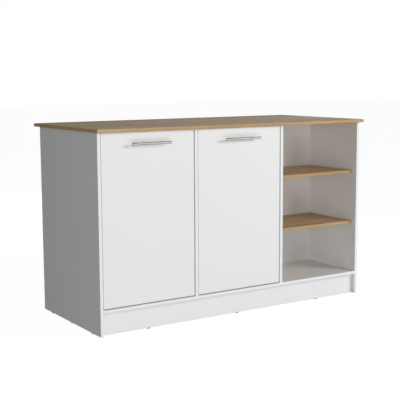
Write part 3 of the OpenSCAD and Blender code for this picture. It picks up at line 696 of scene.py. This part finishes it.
def band(name, low, high, outward, radius, material, node, corners=False):
    obj = block(low, high)
    only(obj, "EDIT")
    sizes = high - low
    run = Vector([1.0 if size == max(sizes) else 0.0 for size in sizes])
    face_at = outward.dot(high if sum(outward) > 0 else low)

    def wanted(middle, way):
        outer = abs(outward.dot(middle) - face_at) < TOUCH
        return outer and (corners or abs(way.dot(run)) > 0.5)

    pick_edges(obj, wanted)
    bpy.ops.mesh.bevel(offset=radius, segments=4, profile=0.5, affect="EDGES")
    return finish_piece(obj, name, material, "carcass", node)


print("band helper ready")

# %% [markdown]
# ### Worktop bands
#
# The long strips run the whole width, and the short ones fit between them, as on a board whose
# ends are banded first and whose long sides after.

# %% Worktop bands
TOP_RADIUS = 1.0 * MM
top_low, top_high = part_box("worktop_edge_bands")
core_low, core_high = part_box("worktop")
strips = {
    "front": (top_low, Vector((top_high.x, core_low.y, top_high.z)), FRONT),
    "rear": (Vector((top_low.x, core_high.y, top_low.z)), top_high, REAR),
    "left": (Vector((top_low.x, core_low.y, top_low.z)),
             Vector((core_low.x, core_high.y, top_high.z)), LEFT),
    "right": (Vector((core_high.x, core_low.y, top_low.z)),
              Vector((top_high.x, core_high.y, top_high.z)), RIGHT),
}
for side, (low, high, outward) in strips.items():
    short = side in ("left", "right")
    material = oak("oak_band_" + side, band_box=(top_low, top_high), turned=short)
    band("worktop_band_" + side, low, high, outward, TOP_RADIUS, material,
         "worktop_edge_bands", corners=not short)
print("worktop bands:", ", ".join(strips))

# %% [markdown]
# ### Shelf and carcass bands
#
# The same helper bands the two open shelves in oak, and the panels, partitions and deck in
# white. Of these only the side panels show their rear edges, so only they have a rear band.

# %% Shelf bands
SHELF_RADIUS = 0.8 * MM
shelf_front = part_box("open_shelf_edge_bands")[0].y
for level in ("lower", "upper"):
    shelf_low, shelf_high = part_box(level + "_open_shelf")
    low = Vector((shelf_low.x, shelf_front, shelf_low.z))
    high = Vector((shelf_high.x, shelf_low.y, shelf_high.z))
    material = oak(f"oak_band_{level}_shelf", band_box=(low, shelf_high))
    band(f"{level}_shelf_band", low, high, FRONT, SHELF_RADIUS, material,
         "open_shelf_edge_bands")
print("shelf bands done")

# %% Carcass bands
WHITE_RADIUS = 0.7 * MM


def carcass_band(node, end, low, high, outward):
    name = f"{node}_{end}_band"
    material = white_band("white_" + name, (low, high))
    band(name, low, high, outward, WHITE_RADIUS, material,
         "carcass_edge_bands")


bands_low, bands_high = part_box("carcass_edge_bands")
for node in ("left_side_panel", "right_side_panel", "left_partition", "right_partition", "deck"):
    low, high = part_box(node)
    carcass_band(node, "front", Vector((low.x, bands_low.y, low.z)),
                 Vector((high.x, low.y, high.z)), FRONT)
    if "side_panel" in node:
        carcass_band(node, "rear", Vector((low.x, high.y, low.z)),
                     Vector((high.x, bands_high.y, high.z)), REAR)
print("carcass bands done")

# %% [markdown]
# ## Dressing the CAD nodes that stay
#
# The boards and the doors' bands are already the right shape, and a few fittings are buried in
# the boards, so all of these keep their CAD mesh and only get their materials.

# %% Boards, door bands and buried fittings
dressed = dict(boards)
for node in ("worktop", "upper_open_shelf", "lower_open_shelf"):
    dressed[node] = oak_board
for node in ("left_door_edge_bands", "right_door_edge_bands"):
    dressed[node] = white_band("white_" + node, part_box(node))
dressed |= {"cam_bolts": screw_zinc, "assembly_screws": screw_zinc, "dowels": dowel_beech}
for node, material in dressed.items():
    coat(frame["nodes"][node].data, material)
print(len(dressed), "CAD nodes dressed")

# %% [markdown]
# ## Round and pressed fittings
#
# The CAD mesh is loose triangles, so it can only be shaded flat, and a round screw head would
# show its facets. A copy of it is merged, its flat triangles are dissolved into whole faces and
# its sharp arrises may be softened a little, and then it shades smoothly. The copy stands for
# the CAD node.

# %% Fitting helper
MERGE_WITHIN, FLAT_WITHIN, SHARP_FROM = 0.001 * MM, radians(0.3), radians(50)


def refined(node, material, slot, soften):
    source = frame["nodes"][node]
    obj = bpy.data.objects.new(node + "_fine", source.data.copy())
    bpy.context.scene.collection.objects.link(obj)
    only(obj, "EDIT")
    bpy.ops.mesh.select_all(action="SELECT")
    bpy.ops.mesh.remove_doubles(threshold=MERGE_WITHIN)
    bpy.ops.mesh.dissolve_limited(angle_limit=FLAT_WITHIN)
    if soften:
        bpy.ops.mesh.select_all(action="DESELECT")
        bpy.ops.mesh.select_mode(type="EDGE")
        bpy.ops.mesh.edges_select_sharp(sharpness=SHARP_FROM)
        bpy.ops.mesh.bevel(offset=soften, segments=2, affect="EDGES", clamp_overlap=True)
    return finish_piece(obj, node + "_fine", material, source["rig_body"], node)


print("fitting helper ready")

# %% [markdown]
# ### The list of fittings
#
# Each line names a CAD node, its material, its colour slot and how far its arrises are softened.
# Where that is 0 they stay as they are, as on the screws and the nails.

# %% Fittings
FINE = [
    ("shelf_pins", pin_nickel, "pin_steel", 0.2 * MM),
    ("hinge_arms", hinge_nickel, "hinge_steel", 0.3 * MM),
    ("hinge_plates", hinge_nickel, "hinge_steel", 0.3 * MM),
    ("hinge_arm_screws", screw_zinc, "screw_steel", 0),
    ("hinge_plate_screws", screw_zinc, "screw_steel", 0),
    ("door_stops", moulded_white, "white_plastic", 0.6 * MM),
    ("door_bumpers", bumper_clear, "bumper_rubber", 0.4 * MM),
    ("door_stop_screws", screw_zinc, "screw_steel", 0),
    ("cam_locks", cast_zinc, "lock_zinc", 0.2 * MM),
    ("kick_blocks", moulded_white, "white_plastic", 0.6 * MM),
    ("kick_block_screws", screw_zinc, "screw_steel", 0),
    ("worktop_brackets", pressed_zinc, "bracket_steel", 0.3 * MM),
    ("worktop_bracket_screws", screw_zinc, "screw_steel", 0),
    ("glides", glide_black, "glide_plastic", 0),
    ("glide_nails", screw_zinc, "screw_steel", 0),
    ("screw_caps", moulded_white, "white_plastic", 0.3 * MM),
]
for side in ("left", "right"):
    FINE += [
        (side + "_hinge_cups", hinge_nickel, "hinge_steel", 0.2 * MM),
        (side + "_hinge_pins", pin_nickel, "pin_steel", 0),
        (side + "_cup_screws", screw_zinc, "screw_steel", 0),
        (side + "_handle_screws", screw_zinc, "screw_steel", 0),
    ]
for fitting in FINE:
    obj = refined(*fitting)
    print(f"{obj.name}: {len(obj.data.polygons)} faces")

# %% [markdown]
# ## Handles
#
# A handle is a steel bar with turned ends on two posts. The bar starts as a cylinder along X.
# Its rims are bevelled, and each end is inset and pushed in by a hair, which is the lip that the
# lathe leaves. A post is a thinner cylinder with a softened foot. The right handle is a copy of
# the left one, moved by the distance between the doors.

# %% Handle helpers
BAR_SIDES, BAR_RIM = 64, 1.2 * MM
END_RING, LIP_WIDTH, LIP_DEPTH = 1.2 * MM, 0.4 * MM, 0.3 * MM
SQUARE_ON = 0.999  # the least share of a normal along X at the bar's flat ends
POST_SIDES, POST_FOOT = 48, 0.5 * MM


def handle_bar():
    low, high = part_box("left_handle_bar")
    radius, at = (high.z - low.z) / 2, (low + high) / 2
    obj = rod(Vector((low.x, at.y, at.z)), Vector((high.x, at.y, at.z)), radius, BAR_SIDES)
    only(obj, "EDIT")
    half = (high.x - low.x) / 2
    pick_edges(obj, lambda middle, way: abs(abs(middle.x - at.x) - half) < TOUCH)
    bpy.ops.mesh.bevel(offset=BAR_RIM, segments=5, affect="EDGES")
    pick_faces(obj, lambda middle, normal: abs(normal.x) > SQUARE_ON)
    bpy.ops.mesh.inset(thickness=END_RING, depth=0)
    bpy.ops.mesh.inset(thickness=LIP_WIDTH, depth=-LIP_DEPTH)
    return obj


def handle_posts():
    low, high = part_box("left_handle_posts")
    bar_low, bar_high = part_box("left_handle_bar")
    centre, radius = (bar_low + bar_high) / 2, (high.z - low.z) / 2
    posts = []
    for x in (low.x + radius, high.x - radius):
        foot, head = Vector((x, high.y, centre.z)), Vector((x, centre.y, centre.z))
        obj = rod(foot, head, radius, POST_SIDES)
        only(obj, "EDIT")
        pick_edges(obj, lambda middle, way: abs(middle.y - high.y) < TOUCH)
        bpy.ops.mesh.bevel(offset=POST_FOOT, segments=3, affect="EDGES")
        only(obj)
        posts.append(obj)
    only(posts[0])
    posts[1].select_set(True)
    bpy.ops.object.join()
    return bpy.context.object


print("handle helpers ready")

# %% Handles
door_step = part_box("right_door")[0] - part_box("left_door")[0]
for part, maker in (("bar", handle_bar), ("posts", handle_posts)):
    first = maker()
    only(first)
    bpy.ops.object.duplicate()
    second = bpy.context.object
    second.location = door_step
    settle()
    for side, obj in (("left", first), ("right", second)):
        node = f"{side}_handle_{part}"
        finish_piece(obj, node + "_turned", handle_metal, side + "_door", node)
print("handles moved by", round(door_step.x, 3), "m")

# %% [markdown]
# ## The studio
#
# The shades tell where the light came from. The shade round a handle is as soft above the bar as
# below it, so light comes up from a white floor in front as well as down from softboxes: one low
# on the left and one high on the right. A third stands low behind the unit, where it reaches
# nothing but the back. A little comes from all round, and more of it from above than from below.
#
# What shines in the boards and the metal is told by rays of their own kind. Round metal shows a
# bright line between two dark ones, so there is a white strip at eye level between a dark ceiling
# and a dark floor. The strip fades out behind the unit's left side, because that side shines
# little in the photograph, while the worktop, which is seen at a flat angle, mirrors more of the
# strip towards its right end. The camera sees plain white behind the unit, and a floor that is
# lifted to white but still takes a trace of the unit's shade.

# %% Floor
FLOOR_SIZE, FLOOR_PALE, FLOOR_LIFT = 60, 0.12, 0.945
FULL_WHITE = (1, 1, 1, 1)

bpy.ops.object.select_all(action="DESELECT")
bpy.ops.mesh.primitive_plane_add(size=FLOOR_SIZE, location=(0, 0, 0))
floor = settle()
floor.name = "studio_floor"
# The floor is there for the camera: it lights nothing, mirrors in nothing, throws no shadow
floor.visible_diffuse = floor.visible_glossy = floor.visible_shadow = False
paint = bpy.data.materials.new("studio_floor")
paint.use_nodes = True
tree = paint.node_tree
tree.nodes.clear()
rays = add(tree, "ShaderNodeLightPath").outputs
matt = add(tree, "ShaderNodeBsdfDiffuse", {"Color": (FLOOR_PALE, FLOOR_PALE, FLOOR_PALE, 1)})
seen = calc(tree, "MULTIPLY", rays["Is Camera Ray"], FLOOR_LIFT)
lift = add(tree, "ShaderNodeEmission", {"Color": FULL_WHITE, "Strength": seen})
lifted = add(tree, "ShaderNodeAddShader", {0: matt.outputs[0], 1: lift.outputs[0]})
add(tree, "ShaderNodeOutputMaterial", {0: lifted.outputs[0]})
floor.data.materials.append(paint)
floor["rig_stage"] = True
print("floor ready")

# %% Sky
ALL_ROUND, FROM_ABOVE, FROM_FLOOR = 0.061, 0.185, 3.2
FLOOR_CARD_FROM, FLOOR_CARD_AT, FLOOR_CARD_Z, FLOOR_CARD_REACH = 0.55, 1.0, -0.5, 0.45
CEILING, CEILING_FROM, CEILING_AT = 0.04, 0.50, 0.80
WALL_AIM = Vector((0.57, -0.82, 0.0)).normalized()
WALL_FROM, WALL_AT, WALL_END = -0.8, -0.15, 0.06
HORIZON = 0.05

world = bpy.data.worlds.new("studio")
bpy.context.scene.world = world
world.use_nodes = True
tree = world.node_tree
tree.nodes.clear()
rays = add(tree, "ShaderNodeLightPath").outputs

# What lights the matt surfaces: a little all round, more from above, and strongest of all the
# card of white floor in front. The vector points from the sky to the unit, so its Y is positive for
# light from the front.
incoming = add(tree, "ShaderNodeNewGeometry").outputs["Incoming"]
inward = add(tree, "ShaderNodeSeparateXYZ", {0: incoming}).outputs
up = calc(tree, "MULTIPLY", inward["Z"], -1.0)
above = spread(tree, up, -HORIZON, HORIZON)
level = calc(tree, "ABSOLUTE", calc(tree, "SUBTRACT", up, FLOOR_CARD_Z))
card = calc(tree, "MULTIPLY", spread(tree, inward["Y"], FLOOR_CARD_FROM, FLOOR_CARD_AT),
            spread(tree, level, 0.0, FLOOR_CARD_REACH, 1.0, 0.0))
soft = calc(tree, "MULTIPLY_ADD", above, FROM_ABOVE, ALL_ROUND)
tent = calc(tree, "MULTIPLY_ADD", card, FROM_FLOOR, soft)

# What the shiny surfaces mirror: a strip at eye level, faded out behind the left side
strip = spread(tree, calc(tree, "ABSOLUTE", up), CEILING_FROM, CEILING_AT, 1.0, CEILING)
facing = vector_calc(tree, "DOT_PRODUCT", incoming, -WALL_AIM)["Value"]
wall = spread(tree, facing, WALL_FROM, WALL_AT)
mirrored = add(tree, "ShaderNodeMix", {0: wall, 2: WALL_END, 3: strip}).outputs[0]

# The camera, and what looks through clear things, see plain white
plain = calc(tree, "MAXIMUM", rays["Is Camera Ray"], rays["Is Transmission Ray"])
glossy = rays["Is Glossy Ray"]
lighting = calc(tree, "SUBTRACT", 1.0, calc(tree, "MAXIMUM", plain, glossy))
shown = calc(tree, "MULTIPLY_ADD", glossy, mirrored, plain)
light = calc(tree, "MULTIPLY_ADD", tent, lighting, shown)
sky = add(tree, "ShaderNodeBackground", {"Color": FULL_WHITE, "Strength": light})
add(tree, "ShaderNodeOutputWorld", {0: sky.outputs[0]})
print("sky ready")

# %% Softboxes
LAMP_AIM, REAR_AIM = (0, 0, 0.6), (0, 0, 0.45)


def softbox(name, at, width, height, watts, aim=LAMP_AIM):
    lamp = bpy.data.lights.new(name, "AREA")
    lamp.shape, lamp.size, lamp.size_y, lamp.energy = "RECTANGLE", width, height, watts
    obj = bpy.data.objects.new(name, lamp)
    bpy.context.scene.collection.objects.link(obj)
    obj.location = at
    obj.rotation_euler = (Vector(aim) - Vector(at)).to_track_quat("-Z", "Y").to_euler()
    obj.visible_glossy = False


softbox("left_softbox", (-3.5, -4.8, 0.95), width=2.4, height=1.8, watts=86)
softbox("right_softbox", (3.3, -4.5, 2.4), width=2.8, height=2.0, watts=160)
softbox("rear_softbox", (0.0, 4.6, 0.45), width=1.4, height=0.8, watts=90, aim=REAR_AIM)
print("softboxes ready")

# %% [markdown]
# ## Finish
#
# The last look at sizes: the box that the dressed unit fills is printed.

# %% Sizes and finish
bpy.context.scene.view_settings.view_transform = "Standard"
bpy.ops.object.select_all(action="DESELECT")
low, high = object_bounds()
print("visual box", [round(v, 4) for v in (*low, *high)])
